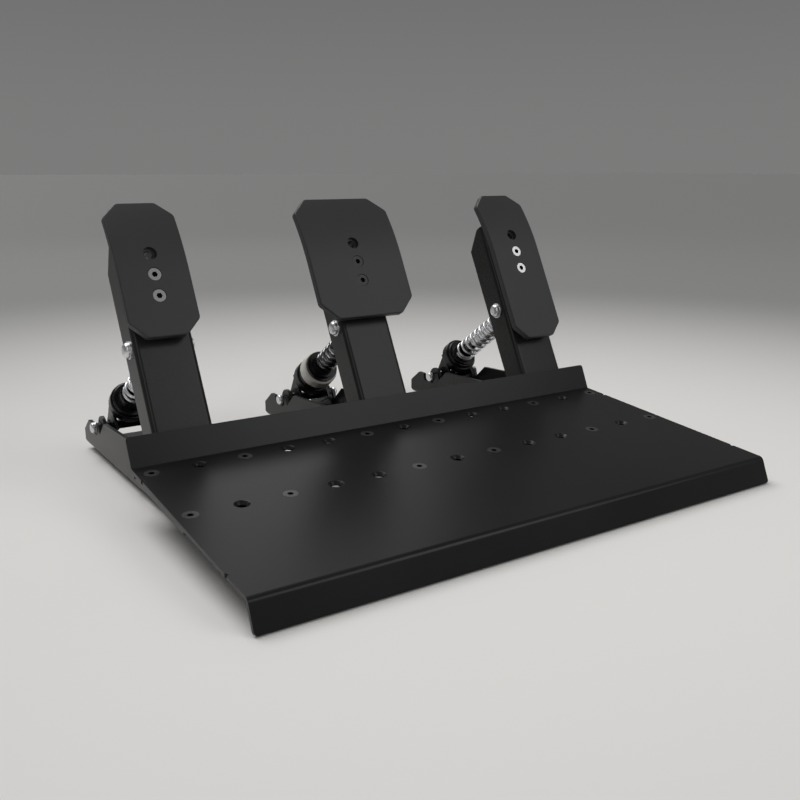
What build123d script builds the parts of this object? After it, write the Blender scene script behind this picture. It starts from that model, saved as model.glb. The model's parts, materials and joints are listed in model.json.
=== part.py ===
from build123d import *
import math
import os

os.makedirs("parts", exist_ok=True)

# Three floor-mounted pedals on a bent heel plate, in millimetres.
# +X is to the driver's right, +Y points away from the driver, +Z is up.
# The origin is on the floor, in the middle of the footprint.

# Shared values
sheet = 3.0
overrun = 60.0
running_clearance = 0.08
seat_gap = 0.3
match_tolerance = 0.05
hexagon_sides = 6
head_taper = 22.5
quarter_turns_per_turn = 4
samples_per_quarter = 200
samples_per_edge = 6

# Heel plate
plate_edge_margin = 10.0
plate_depth = 194.0
plate_tilt = 5.1
bend_inside = 1.5
lip_length = 20.5
lip_lean = 26.9
lip_corner = 2.5
flange_length = 22.7
flange_lean = 29.0
flange_corner = 2.5
hole_columns = 13
rear_row_margin = 12.5
row_pitch = 73.6
edge_notch_radius = 1.6
edge_notch_front = 28.6
edge_notch_rear_margin = 22.5

# Pedals from left to right, a number of hole columns apart
pedals = ("clutch", "brake", "throttle")
columns_between_pedals = 5
columns_to_screws = 1

# Countersunk screws and the clinch nuts under them
screw_radius = 3.0
screw_hole_radius = 3.3
screw_head_radius = 5.4
screw_head_clearance = 0.1
screw_length = 15.0
screw_angle = 90.0
socket_flats = 4.0
socket_depth = 1.6
nut_flats = 10.0
nut_height = 5.0
nut_bore_gap = 0.05

# Pedal base: a channel with side walls and outward flanges. A value that ends in
# back is a distance behind the heel plate's rear crease, as end is here, and one
# that ends in ahead or behind is a distance from the strut's rear pin
arm_side_gap = 1.0
screw_wall_gap = 8.0
base_lift = 4.1
base_front_margin = 15.9
base_end_behind = 37.8
base_bend_outside = 4.0
base_bend_inside = 1.0
base_flange_reach = 17.5
base_flange_inset = 6.0
base_flange_corner = 4.0
bend_relief_depth = 3.4
bend_relief_end = 6.8
wall_shoulder_back = 9.3
wall_shoulder_z = 41.7
wall_middle_back = 73.8
wall_middle_z = 38.7
wall_crest_ahead = 25.0
wall_crest_z = 36.0
vee_ahead = 10.5
vee_z = 23.0
horn_ahead = 7.2
horn_top_z = 31.1
pocket_behind = 4.6
pocket_half_width = 9.4
pocket_floor_z = 20.4
pocket_corner = 5.0
tab_front_z = 28.2
tab_top_behind = 23.0
tab_top_z = 28.4
tab_rear_z = 17.4
rear_bevel = 3.8
rig_hole_radius = 4.25
rig_hole_inset = 15.0
rig_hole_ahead = 32.0

# Rubber feet under the bases
foot_width = 40.0
foot_length = 32.0
foot_inset = 30.0
foot_corner = 3.0

# Pedal arm, measured along the arm (u) and back from the face (depth). Reach runs
# from the lower pivot to where the face plate is mounted, and a rise from the pivot
arm_lean = 27.3
arm_reach = 139.0
pivot_back = 16.0
pivot_z = 29.8
face_thickness = 5.5
spacer_thickness = 7.5
arm_width = 46.0
arm_depth = 25.0
arm_bend_outside = 4.0
arm_bend_inside = 1.0
arm_top_u = 32.5
arm_shoulder_depth = 8.0
arm_shoulder_drop = 1.0
arm_rear_corner_u = 16.0
web_end_rise = 14.0
web_window_margin = 4.0

# Lower pivot of the arm
pivot_radius = 5.0
pivot_head_radius = 8.0
pivot_head_height = 4.4
pivot_nut_flats = 16.0
pivot_nut_height = 7.0
bush_radius = 6.5
bush_length = 5.0
bush_flange_radius = 8.5
bush_flange = 0.7

# Face plates
face_step = 16.8
face_roll_radius = 204.0
roll_shares = (0, 1 / 2, 1)
face_top_u = 61.6
face_edge_round = 1.2
face_corner_round = 5.0
counterbore_radius = 5.2
counterbore_depth = 4.2
face_screw_head_radius = 4.85
face_screw_head_height = 3.7
face_screw_length = 22.0
face_socket_flats = 4.0
face_socket_depth = 2.0
face_nut_flats = 10.0
face_nut_height = 5.0
spacer_half_width = 14.0
spacer_low_u = -30.0
spacer_high_u = 27.0
spacer_corner = 3.0

# Upper pivot of the strut, on the arm
eye_rise = 89.9
eye_depth = 24.4
eye_bolt_radius = 4.0
eye_washer_radius = 6.9
eye_washer = 1.2
dome_radius = 5.9
dome_height = 4.2
dome_round = 3.8
eye_cap_radius = 5.4
eye_cap_height = 2.2
eye_cap_round = 0.8
eye_socket_flats = 4.0
eye_socket_depth = 1.4

# Strut: distances t run from the upper pivot down the strut's axis
strut_slope = 35.0
eye_boss_radius = 7.5
eye_boss_gap = 0.5
sleeve_end = 72.0
rod_radius = 4.5
rod_start = 60.0
rod_end = 117.0
rod_fit = 0.05
rod_tip_chamfer = 1.0
collar_start = 13.0
collar_end = 17.0
collar_radius = 11.5
flange_start = 104.0
cup_floor_start = 108.5
cup_floor_end = 113.0
cup_round = 1.5
bore_gap = 1.0
fork_disc = 3.0
fork_disc_radius = 15.0
fork_strap_height = 14.0
fork_bore_radius = 6.0
fork_side_gap = 4.2
fork_cheek = 2.5
fork_eye_radius = 8.0
fork_top_h = 6.0
fork_low_h = -21.0
flange_chamfer = 0.6

# Rear pin of the strut and the bracket that holds it
pin_back = 156.8
pin_z = 27.1
pin_radius = 4.0
pin_head_gap = 0.3
pin_head_radius = 4.6
pin_head_height = 4.0
pin_head_round = 1.6
pin_play = 1.15
bracket_gap = 1.5
bracket_eye_radius = 9.0
bracket_ahead = 16.0
bracket_behind = 20.0
bracket_toe_height = 8.0

# Position sensor on the base and the magnet on the arm
sensor_width = 18.0
sensor_back = (42.8, 68.8)
sensor_z = (9.0, 33.0)
sensor_round = 1.5
sensor_socket_width = 9.0
sensor_socket_height = 6.0
sensor_socket_depth = 5.0
sensor_screw_places = ((55.8, 26.6), (50.8, 15.2))
sensor_screw_radius = 2.0
sensor_screw_head_radius = 3.6
sensor_screw_head_height = 2.4
sensor_screw_depth = 8.0
magnet_rise = (21.0, 34.0)
magnet_depth = (22.0, 36.0)
magnet_width = 12.0
magnet_disc_radius = 4.0
magnet_disc_proud = 1.2
magnet_round = 1.0

# Controller box under the heel plate
box_centre_columns = 2.5
box_width = 66.0
box_length = 90.0
box_row_lead = 2.9
box_height = 16.0
box_wall = 2.0
box_lid = 2.0
box_round = 3.0
board_thickness = 1.6
board_gap = 1.0
board_height = 5.0
post_radius = 3.0
chip_size = 14.0
chip_height = 1.8
chip_back = 20.0
usb_width = 12.2
usb_length = 16.0
usb_height = 7.0
usb_gap = 0.4
usb_opening_wall = 0.8

# Pedals that differ from one another
face_sizes = {
    "clutch": {"half_width": 27.2, "low_u": -48.6, "chamfer": 12.2},
    "brake": {"half_width": 44.9, "low_u": -48.9, "chamfer": 14.0},
    "throttle": {"half_width": 27.2, "low_u": -85.4, "chamfer": 12.2},
}
strut_sizes = {
    "clutch": {"seat_start": 90.5, "seat_radius": 11.4, "cup_start": 100.5, "cup_radius": 15.5,
               "flange_radius": 17.0, "sleeve_radius": 7.2, "wire": 2.6, "coil_radius": 9.2},
    "brake": {"seat_start": 77.0, "seat_radius": 14.8, "cup_start": 98.5, "cup_radius": 15.5,
              "flange_radius": 17.0, "sleeve_radius": 5.3, "wire": 3.6, "coil_radius": 8.1},
    "throttle": {"seat_start": 98.5, "seat_radius": 13.5, "cup_start": 100.5, "cup_radius": 15.5,
                 "flange_radius": 17.5, "sleeve_radius": 7.2, "wire": 2.2, "coil_radius": 9.1},
}
elastomer_start = 86.5
elastomer_radius = 16.7
elastomer_round = 2.2
seat_step = 3.2
seat_step_in = 2.3
closed_coil_gap = 0.6
closed_turns = 1.0
spring_turns = {"clutch": 6.0, "brake": 6.0, "throttle": 8.5}

# Worked out from the values above
base_width = arm_width + 2 * (arm_side_gap + sheet)
hole_pitch = base_width / 2 + screw_wall_gap
plate_width = (hole_columns - 1) * hole_pitch + 2 * plate_edge_margin
bracket_half_width = base_width / 2 - sheet - bracket_gap
fork_cheek_inside = bracket_half_width - sheet - fork_side_gap - fork_cheek
tilt = math.radians(plate_tilt)
lip_angle = math.radians(lip_lean - plate_tilt)
bend_height = lip_length * math.cos(lip_angle) + sheet * math.sin(lip_angle)
rear_row = plate_depth - rear_row_margin
front_row = rear_row - row_pitch
edge_notch_rows = (edge_notch_front, plate_depth - edge_notch_rear_margin)
box_centre_row = front_row - box_row_lead
base_front = front_row - base_front_margin
base_flange_end = plate_depth - base_flange_inset
base_reach = pin_back + base_end_behind
crease = plate_depth * math.cos(tilt)
bend_y = -(crease + base_reach - lip_length * math.sin(lip_angle)) / 2
crease_y = bend_y + crease
deck_origin = Vector(0, bend_y, bend_height)
deck_along = Vector(0, math.cos(tilt), math.sin(tilt))
deck_up = Vector(0, -math.sin(tilt), math.cos(tilt))
deck = Plane(origin=deck_origin, x_dir=(1, 0, 0), z_dir=deck_up)

lean = math.radians(arm_lean)
arm_along = Vector(0, math.sin(lean), math.cos(lean))
arm_front = Vector(0, -math.cos(lean), math.sin(lean))
web_depth = face_thickness + spacer_thickness
rear_depth = web_depth + arm_depth
pivot_depth = web_depth + arm_depth / 2
pivot_u = -arm_reach
web_end_u = web_end_rise - arm_reach
pivot_point = Vector(0, crease_y + pivot_back, pivot_z)
mount_point = pivot_point + arm_along * arm_reach + arm_front * pivot_depth

slope = math.radians(strut_slope)
strut_down = Vector(0, math.cos(slope), -math.sin(slope))
strut_up = Vector(0, math.sin(slope), math.cos(slope))


def on_arm(u, depth):
    """Point in the row frame, for a pedal in the middle."""
    return mount_point + arm_along * u - arm_front * depth


eye_point = on_arm(eye_rise - arm_reach, eye_depth)
pin_point = Vector(0, crease_y + pin_back, pin_z)
pin_t = (pin_point - eye_point).dot(strut_down)
pin_h = (pin_point - eye_point).dot(strut_up)


def side_plane(origin, along, cx):
    """Plane whose local x runs along and whose normal is +X, moved to the pedal at cx."""
    return Plane(origin=origin + Vector(cx, 0, 0), x_dir=along, z_dir=(1, 0, 0))


def cross_plane(t, cx):
    """Plane square to the strut's axis at distance t from the upper pivot."""
    origin = eye_point + strut_down * t + Vector(cx, 0, 0)
    return Plane(origin=origin, x_dir=(1, 0, 0), z_dir=strut_down)


def across(x, y, z, cx):
    """Plane facing +X whose origin is the given point."""
    return Plane(origin=(cx + x, y, z), x_dir=(0, 1, 0), z_dir=(1, 0, 0))


def save(part, name):
    part.part.label = name
    export_step(part.part, "parts/" + name + ".step")


def deck_point(x, row, height=0):
    return deck.from_local_coords(Vector(x, row, height))


def centre_x(pedal):
    return (pedals.index(pedal) - 1) * columns_between_pedals * hole_pitch


def screw_places():
    places = []
    for pedal in pedals:
        for row in (front_row, rear_row):
            for side in (-columns_to_screws, columns_to_screws):
                places.append((centre_x(pedal) + side * hole_pitch, row))
    return places


# Heel plate: one sheet bent down at the front and up at the rear
def make_heel_plate():
    lip = math.radians(lip_lean)
    rise = math.radians(flange_lean)
    outline = [
        (-lip_length * math.sin(lip), -lip_length * math.cos(lip)),
        (0, 0),
        (plate_depth, 0),
        (plate_depth + flange_length * math.sin(rise), flange_length * math.cos(rise)),
    ]
    deck_side = Plane(origin=deck_origin, x_dir=deck_along, z_dir=(1, 0, 0))
    with BuildPart() as heel_plate:
        with BuildSketch(deck_side):
            with BuildLine():
                FilletPolyline(*outline, radius=[bend_inside + sheet, bend_inside])
                offset(amount=sheet, side=Side.RIGHT)
            make_face()
        extrude(amount=plate_width / 2, both=True)
        short_edges = [e for e in heel_plate.edges() if abs(e.length - sheet) < match_tolerance]
        low = ShapeList(short_edges).sort_by(Axis.Z)[:2]
        high = ShapeList(short_edges).sort_by(Axis.Z)[-2:]
        fillet(low, radius=lip_corner)
        fillet(high, radius=flange_corner)
        with Locations(deck):
            columns = [(i - (hole_columns - 1) / 2) * hole_pitch for i in range(hole_columns)]
            spots = [(x, row) for x in columns for row in (front_row, rear_row)]
            with Locations(*spots):
                CounterSinkHole(
                    radius=screw_hole_radius,
                    counter_sink_radius=screw_head_radius + screw_head_clearance,
                    depth=overrun,
                    counter_sink_angle=screw_angle,
                )
            edges = [(side * plate_width / 2, row) for side in (-1, 1) for row in edge_notch_rows]
            with Locations(*edges):
                Hole(radius=edge_notch_radius, depth=overrun)
    save(heel_plate, "heel_plate")


def make_heel_plate_screws():
    cone = screw_head_radius - screw_radius
    with BuildPart() as screws:
        for x, row in screw_places():
            foot = deck_point(x, row, -screw_length)
            with BuildSketch(Plane(origin=foot, x_dir=(1, 0, 0), z_dir=deck_up)):
                Circle(screw_radius)
            extrude(amount=screw_length - cone)
            with BuildSketch(Plane(origin=deck_point(x, row, -cone), x_dir=(1, 0, 0), z_dir=deck_up)):
                Circle(screw_radius)
            extrude(amount=cone, taper=-screw_angle / 2)
            with BuildSketch(Plane(origin=deck_point(x, row), x_dir=(1, 0, 0), z_dir=deck_up)):
                RegularPolygon(radius=socket_flats / 2, side_count=hexagon_sides, major_radius=False)
            extrude(amount=-socket_depth, mode=Mode.SUBTRACT)
    save(screws, "heel_plate_screws")


def make_base_nuts():
    top = -2 * sheet
    with BuildPart() as nuts:
        for x, row in screw_places():
            with BuildSketch(Plane(origin=deck_point(x, row, top), x_dir=(1, 0, 0), z_dir=deck_up)):
                RegularPolygon(radius=nut_flats / 2, side_count=hexagon_sides, major_radius=False)
                Circle(screw_radius + nut_bore_gap, mode=Mode.SUBTRACT)
            extrude(amount=-nut_height)
    save(nuts, "base_nuts")


# Pedal base
def wall_outline():
    under = deck_point(0, base_flange_end, -sheet)
    front_z = deck_point(0, base_front, -sheet).Z
    relief_z = under.Z - bend_relief_depth
    pocket_front = pin_back + pocket_behind - pocket_half_width
    pocket_rear = pin_back + pocket_behind + pocket_half_width
    return [
        (bend_y + base_front, base_lift),
        (crease_y + base_reach - rear_bevel, base_lift),
        (crease_y + base_reach, base_lift + rear_bevel),
        (crease_y + base_reach, tab_rear_z),
        (crease_y + pin_back + tab_top_behind, tab_top_z),
        (crease_y + pocket_rear, tab_front_z),
        (crease_y + pocket_rear, pocket_floor_z),
        (crease_y + pocket_front, pocket_floor_z),
        (crease_y + pocket_front, horn_top_z),
        (crease_y + pin_back - horn_ahead, horn_top_z),
        (crease_y + pin_back - vee_ahead, vee_z),
        (crease_y + pin_back - wall_crest_ahead, wall_crest_z),
        (crease_y + wall_middle_back, wall_middle_z),
        (crease_y + wall_shoulder_back, wall_shoulder_z),
        (crease_y + bend_relief_end, relief_z),
        (under.Y, relief_z),
        (under.Y, under.Z),
        (bend_y + base_front, front_z),
    ]


def make_base(pedal):
    cx = centre_x(pedal)
    half = base_width / 2
    inner = half - sheet
    points = wall_outline()
    middle = Plane(origin=(cx, 0, 0), x_dir=(0, 1, 0), z_dir=(1, 0, 0))
    with BuildPart() as base:
        with BuildSketch(middle) as outline:
            Polygon(*points, align=None)
            pocket = outline.vertices().filter_by(lambda v: abs(v.Y - pocket_floor_z) < match_tolerance)
            fillet(pocket, radius=pocket_corner)
        extrude(amount=half, both=True)
        long_low = base.edges().filter_by(Axis.Y).group_by(Axis.Z)[0]
        fillet(long_low, radius=base_bend_outside)
        with BuildSketch(Plane(origin=(cx, bend_y, 0), x_dir=(1, 0, 0), z_dir=(0, 1, 0))):
            with Locations((0, -(base_lift + sheet + overrun / 2))):
                Rectangle(2 * inner, overrun)
        extrude(amount=crease + base_reach + overrun, mode=Mode.SUBTRACT)
        floor_edges = base.edges().filter_by(Axis.Y).filter_by(
            lambda e: abs(abs(e.center().X - cx) - inner) < match_tolerance
            and abs(e.center().Z - base_lift - sheet) < match_tolerance
        )
        fillet(floor_edges, radius=base_bend_inside)
        for side in (-1, 1):
            reach = half + base_flange_reach / 2
            place = deck_point(cx + side * reach, (base_front + base_flange_end) / 2, -sheet)
            with BuildSketch(Plane(origin=place, x_dir=(1, 0, 0), z_dir=deck_up)):
                with Locations((-side * sheet / 2, 0)):
                    Rectangle(base_flange_reach + sheet, base_flange_end - base_front)
            extrude(amount=-sheet)
        corners = base.edges().filter_by(
            lambda e: abs(e.length - sheet) < match_tolerance
            and abs(abs(e.center().X - cx) - half - base_flange_reach) < match_tolerance
        )
        fillet(corners, radius=base_flange_corner)
        for side in (-1, 1):
            for row in (front_row, rear_row):
                hole = deck_point(cx + side * hole_pitch, row, -sheet)
                with Locations(Plane(origin=hole, x_dir=(1, 0, 0), z_dir=deck_up)):
                    Hole(radius=screw_hole_radius, depth=2 * sheet)
        pivot_plane = across(-half, pivot_point.Y, pivot_point.Z, cx)
        with BuildSketch(pivot_plane):
            Circle(pivot_radius + running_clearance)
        extrude(amount=base_width, mode=Mode.SUBTRACT)
        for y, z in sensor_screw_places:
            with BuildSketch(across(-half, crease_y + y, z, cx)):
                Circle(sensor_screw_radius + running_clearance)
            extrude(amount=sheet, mode=Mode.SUBTRACT)
        for y in (bend_y + base_front + rig_hole_inset, pin_point.Y - rig_hole_ahead):
            with BuildSketch(Plane(origin=(cx, y, base_lift))):
                Circle(rig_hole_radius)
            extrude(amount=sheet, mode=Mode.SUBTRACT)
    save(base, pedal + "_base")


def make_rubber_feet():
    with BuildPart() as feet:
        for pedal in pedals:
            for start in (bend_y + base_front + foot_inset, pin_point.Y):
                with BuildSketch(Plane(origin=(centre_x(pedal), start + foot_length / 2, 0))):
                    RectangleRounded(foot_width, foot_length, foot_corner)
                extrude(amount=base_lift)
    save(feet, "rubber_feet")


# Lower pivots of the arms
def make_pivot_bolts():
    half = base_width / 2
    with BuildPart() as bolts:
        for pedal in pedals:
            cx = centre_x(pedal)
            with BuildSketch(across(-half, pivot_point.Y, pivot_point.Z, cx)):
                Circle(pivot_radius)
            extrude(amount=base_width + pivot_nut_height)
            with BuildSketch(across(-half, pivot_point.Y, pivot_point.Z, cx)):
                Circle(pivot_head_radius)
            extrude(amount=-pivot_head_height, taper=head_taper)
    save(bolts, "pivot_bolts")


def make_pivot_nuts():
    with BuildPart() as nuts:
        for pedal in pedals:
            plane = across(base_width / 2, pivot_point.Y, pivot_point.Z, centre_x(pedal))
            with BuildSketch(plane):
                RegularPolygon(radius=pivot_nut_flats / 2, side_count=hexagon_sides, major_radius=False)
                Circle(pivot_radius + nut_bore_gap, mode=Mode.SUBTRACT)
            extrude(amount=pivot_nut_height)
    save(nuts, "pivot_nuts")


def make_pivot_bushes(pedal):
    cx = centre_x(pedal)
    half = arm_width / 2
    with BuildPart() as bushes:
        for side in (-1, 1):
            plane = Plane(
                origin=(cx + side * half, pivot_point.Y, pivot_point.Z),
                x_dir=(0, 1, 0),
                z_dir=(side, 0, 0),
            )
            with BuildSketch(plane):
                Circle(bush_radius)
            extrude(amount=-bush_length)
            with BuildSketch(plane):
                Circle(bush_flange_radius)
            extrude(amount=bush_flange)
            with BuildSketch(plane.offset(bush_flange)):
                Circle(pivot_radius + running_clearance)
            extrude(amount=-(bush_flange + bush_length), mode=Mode.SUBTRACT)
    save(bushes, pedal + "_pivot_bushes")


# Pedal arm: a channel with its web toward the driver
def make_arm(pedal):
    cx = centre_x(pedal)
    half = arm_width / 2
    low_u = pivot_u - arm_depth / 2
    side = side_plane(mount_point, arm_along, cx)
    section_origin = on_arm(low_u, web_depth) + Vector(cx, 0, 0)
    outline = [
        (arm_top_u, -web_depth),
        (arm_top_u - arm_shoulder_drop, -web_depth - arm_shoulder_depth),
        (arm_rear_corner_u, -rear_depth),
        (pivot_u, -rear_depth),
    ]
    with BuildPart() as arm:
        with BuildSketch(Plane(origin=section_origin, x_dir=(1, 0, 0), z_dir=arm_along)) as section:
            with Locations((0, arm_depth / 2)):
                Rectangle(arm_width, arm_depth)
            front = section.vertices().group_by(Axis.Y)[0]
            fillet(front, radius=arm_bend_outside)
            with BuildSketch(mode=Mode.PRIVATE) as hollow:
                with Locations((0, sheet + overrun / 2)):
                    Rectangle(arm_width - 2 * sheet, overrun)
                fillet(hollow.vertices().group_by(Axis.Y)[0], radius=arm_bend_inside)
            add(hollow.sketch, mode=Mode.SUBTRACT)
        extrude(amount=arm_top_u - low_u)
        with BuildSketch(side):
            with BuildLine():
                Polyline(*outline)
                end = ThreePointArc(
                    (pivot_u, -rear_depth), (low_u, -pivot_depth), (pivot_u, -web_depth)
                )
                Line(end @ 1, (arm_top_u, -web_depth))
            make_face()
        extrude(amount=half, both=True, mode=Mode.INTERSECT)
        window_half = half - web_window_margin
        window_origin = on_arm(web_end_u, web_depth) + Vector(cx, 0, 0)
        with BuildSketch(Plane(origin=window_origin, x_dir=(1, 0, 0), z_dir=arm_front)):
            with Locations((0, -overrun / 2)):
                Rectangle(2 * window_half, overrun)
        extrude(amount=sheet + running_clearance, both=True, mode=Mode.SUBTRACT)
        face_plane = Plane(origin=on_arm(0, web_depth) + Vector(cx, 0, 0), x_dir=(1, 0, 0), z_dir=arm_front)
        with BuildSketch(face_plane):
            with Locations((0, -face_step), (0, 0), (0, face_step)):
                Circle(screw_hole_radius)
        extrude(amount=-sheet, mode=Mode.SUBTRACT)
        with BuildSketch(across(-half, eye_point.Y, eye_point.Z, cx)):
            Circle(eye_bolt_radius + running_clearance)
        extrude(amount=arm_width, mode=Mode.SUBTRACT)
        with BuildSketch(across(-half, pivot_point.Y, pivot_point.Z, cx)):
            Circle(bush_radius)
        extrude(amount=arm_width, mode=Mode.SUBTRACT)
    save(arm, pedal + "_arm")


# Face plates: flat below the middle hole and rolled back above it
def rolled_profile(high_u, front, back):
    """Points of the rolled part between two depths: front arc outward, then back arc inward."""
    radius_front = face_roll_radius - front
    radius_back = face_roll_radius - back
    turn = math.asin(high_u / radius_back)

    def at(radius, angle):
        return (radius * math.sin(angle), radius * math.cos(angle) - face_roll_radius)

    outward = [at(radius_front, share * turn) for share in roll_shares]
    inward = [at(radius_back, share * turn) for share in reversed(roll_shares)]
    return outward, inward


def make_face_plate(pedal):
    cx = centre_x(pedal)
    size = face_sizes[pedal]
    half = size["half_width"]
    cut = size["chamfer"]
    low = size["low_u"]
    octagon = [
        (-half, low + cut),
        (-half + cut, low),
        (half - cut, low),
        (half, low + cut),
        (half, face_top_u - cut),
        (half - cut, face_top_u),
        (-half + cut, face_top_u),
        (-half, face_top_u - cut),
    ]
    side = side_plane(mount_point, arm_along, cx)
    outward, inward = rolled_profile(face_top_u + cut, 0, face_thickness)
    face_plane = Plane(origin=mount_point + Vector(cx, 0, 0), x_dir=(1, 0, 0), z_dir=arm_front)
    with BuildPart() as plate:
        with BuildSketch(side):
            with BuildLine():
                ThreePointArc(*outward)
                Line(outward[-1], inward[0])
                ThreePointArc(*inward)
                Polyline(inward[-1], (low - overrun, -face_thickness), (low - overrun, 0), outward[0])
            make_face()
        extrude(amount=half, both=True)
        with BuildSketch(face_plane) as shape:
            Polygon(*octagon, align=None)
            fillet(shape.vertices(), radius=face_corner_round)
        extrude(amount=overrun, both=True, mode=Mode.INTERSECT)
        front = [f for f in plate.faces() if f.normal_at(f.center()).dot(arm_front) > math.sqrt(1 / 2)]
        rims = [e for f in front for e in f.edges()]
        rims = [e for e in rims if sum(e.is_same(other) for other in rims) == 1]
        fillet(rims, radius=face_edge_round)
        with Locations(face_plane):
            with Locations((0, -face_step), (0, 0), (0, face_step)):
                CounterBoreHole(
                    radius=screw_hole_radius,
                    counter_bore_radius=counterbore_radius,
                    counter_bore_depth=counterbore_depth,
                    depth=overrun,
                )
    save(plate, pedal + "_face_plate")


def make_face_spacer(pedal):
    cx = centre_x(pedal)
    side = side_plane(mount_point, arm_along, cx)
    outward, _ = rolled_profile(spacer_high_u, face_thickness, face_thickness)
    short_side = web_depth - face_thickness
    face_plane = Plane(origin=mount_point + Vector(cx, 0, 0), x_dir=(1, 0, 0), z_dir=arm_front)
    with BuildPart() as spacer:
        with BuildSketch(side):
            with BuildLine():
                ThreePointArc(*outward)
                Polyline(outward[-1], (spacer_high_u, -web_depth), (spacer_low_u, -web_depth))
                Polyline((spacer_low_u, -web_depth), (spacer_low_u, -face_thickness), outward[0])
            make_face()
        extrude(amount=spacer_half_width, both=True)
        long_edges = spacer.edges().filter_by(lambda e: abs(e.length - short_side) < match_tolerance)
        fillet(long_edges, radius=spacer_corner)
        with Locations(face_plane):
            with Locations((0, -face_step), (0, 0), (0, face_step)):
                Hole(radius=screw_hole_radius, depth=overrun)
    save(spacer, pedal + "_face_spacer")


def make_face_fixings(pedal):
    cx = centre_x(pedal)
    seat = counterbore_depth - face_screw_head_height
    with BuildPart() as fixings:
        for u in (0, -face_step):
            head_top = on_arm(u, seat) + Vector(cx, 0, 0)
            plane = Plane(origin=head_top, x_dir=(1, 0, 0), z_dir=arm_front)
            with BuildSketch(plane):
                Circle(face_screw_head_radius)
            extrude(amount=-face_screw_head_height)
            with BuildSketch(plane.offset(-face_screw_head_height)):
                Circle(screw_radius)
            extrude(amount=-face_screw_length)
            with BuildSketch(plane):
                RegularPolygon(radius=face_socket_flats / 2, side_count=hexagon_sides, major_radius=False)
            extrude(amount=-face_socket_depth, mode=Mode.SUBTRACT)
            nut_front = on_arm(u, web_depth + sheet) + Vector(cx, 0, 0)
            with BuildSketch(Plane(origin=nut_front, x_dir=(1, 0, 0), z_dir=arm_front)):
                RegularPolygon(radius=face_nut_flats / 2, side_count=hexagon_sides, major_radius=False)
                Circle(screw_radius + nut_bore_gap, mode=Mode.SUBTRACT)
            extrude(amount=-face_nut_height)
    save(fixings, pedal + "_face_fixings")


# Upper pivot of the strut: a sleeve bolt with a dome at each end
def make_eye_bolt(pedal):
    cx = centre_x(pedal)
    half = arm_width / 2
    with BuildPart() as bolt:
        with BuildSketch(across(-half, eye_point.Y, eye_point.Z, cx)):
            Circle(eye_bolt_radius)
        extrude(amount=arm_width)
        with BuildSketch(across(-half, eye_point.Y, eye_point.Z, cx)):
            Circle(eye_washer_radius)
        extrude(amount=-eye_washer)
        with BuildSketch(across(-half - eye_washer, eye_point.Y, eye_point.Z, cx)):
            Circle(dome_radius)
        extrude(amount=-dome_height)
        fillet(bolt.faces().sort_by(Axis.X)[0].edges(), radius=dome_round)
        with BuildSketch(across(half, eye_point.Y, eye_point.Z, cx)):
            Circle(eye_cap_radius)
        extrude(amount=eye_cap_height)
        fillet(bolt.faces().sort_by(Axis.X)[-1].edges(), radius=eye_cap_round)
        with BuildSketch(across(half + eye_cap_height, eye_point.Y, eye_point.Z, cx)):
            RegularPolygon(radius=eye_socket_flats / 2, side_count=hexagon_sides, major_radius=False)
        extrude(amount=-eye_socket_depth, mode=Mode.SUBTRACT)
    save(bolt, pedal + "_eye_bolt")


def make_magnet_holder(pedal):
    cx = centre_x(pedal)
    wall = arm_width / 2 - sheet
    low, high = (rise - arm_reach for rise in magnet_rise)
    near, far = magnet_depth
    origin = on_arm(low, near) + Vector(cx - wall, 0, 0)
    with BuildPart() as holder:
        with BuildSketch(side_plane(origin, arm_along, 0)):
            with Locations(((high - low) / 2, -(far - near) / 2)):
                RectangleRounded(high - low, far - near, magnet_round)
        extrude(amount=magnet_width)
        disc_origin = on_arm((low + high) / 2, far) + Vector(cx - wall + magnet_width / 2, 0, 0)
        with BuildSketch(Plane(origin=disc_origin, x_dir=(1, 0, 0), z_dir=-arm_front)):
            Circle(magnet_disc_radius)
        extrude(amount=magnet_disc_proud)
    save(holder, pedal + "_magnet_holder")


# Strut: sleeve with its eye, inner rod, spring seat, cup and fork
def make_sleeve(pedal):
    cx = centre_x(pedal)
    size = strut_sizes[pedal]
    boss_half = arm_width / 2 - sheet - eye_boss_gap
    with BuildPart() as sleeve:
        with BuildSketch(across(-boss_half, eye_point.Y, eye_point.Z, cx)):
            Circle(eye_boss_radius)
        extrude(amount=2 * boss_half)
        with BuildSketch(cross_plane(0, cx)):
            Circle(size["sleeve_radius"])
        extrude(amount=sleeve_end)
        with BuildSketch(cross_plane(collar_start, cx)):
            Circle(collar_radius)
        extrude(amount=collar_end - collar_start)
        with BuildSketch(cross_plane(rod_start, cx)):
            Circle(rod_radius + rod_fit)
        extrude(amount=sleeve_end - rod_start, mode=Mode.SUBTRACT)
        with BuildSketch(across(-boss_half, eye_point.Y, eye_point.Z, cx)):
            Circle(eye_bolt_radius + running_clearance)
        extrude(amount=2 * boss_half, mode=Mode.SUBTRACT)
    save(sleeve, pedal + "_strut_sleeve")


def make_rod(pedal):
    with BuildPart() as rod:
        with BuildSketch(cross_plane(rod_start, centre_x(pedal))):
            Circle(rod_radius)
        extrude(amount=rod_end - rod_start)
        tip = rod.faces().sort_by(Axis.Z)[0]
        chamfer(tip.edges(), length=rod_tip_chamfer)
    save(rod, pedal + "_strut_rod")


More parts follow.
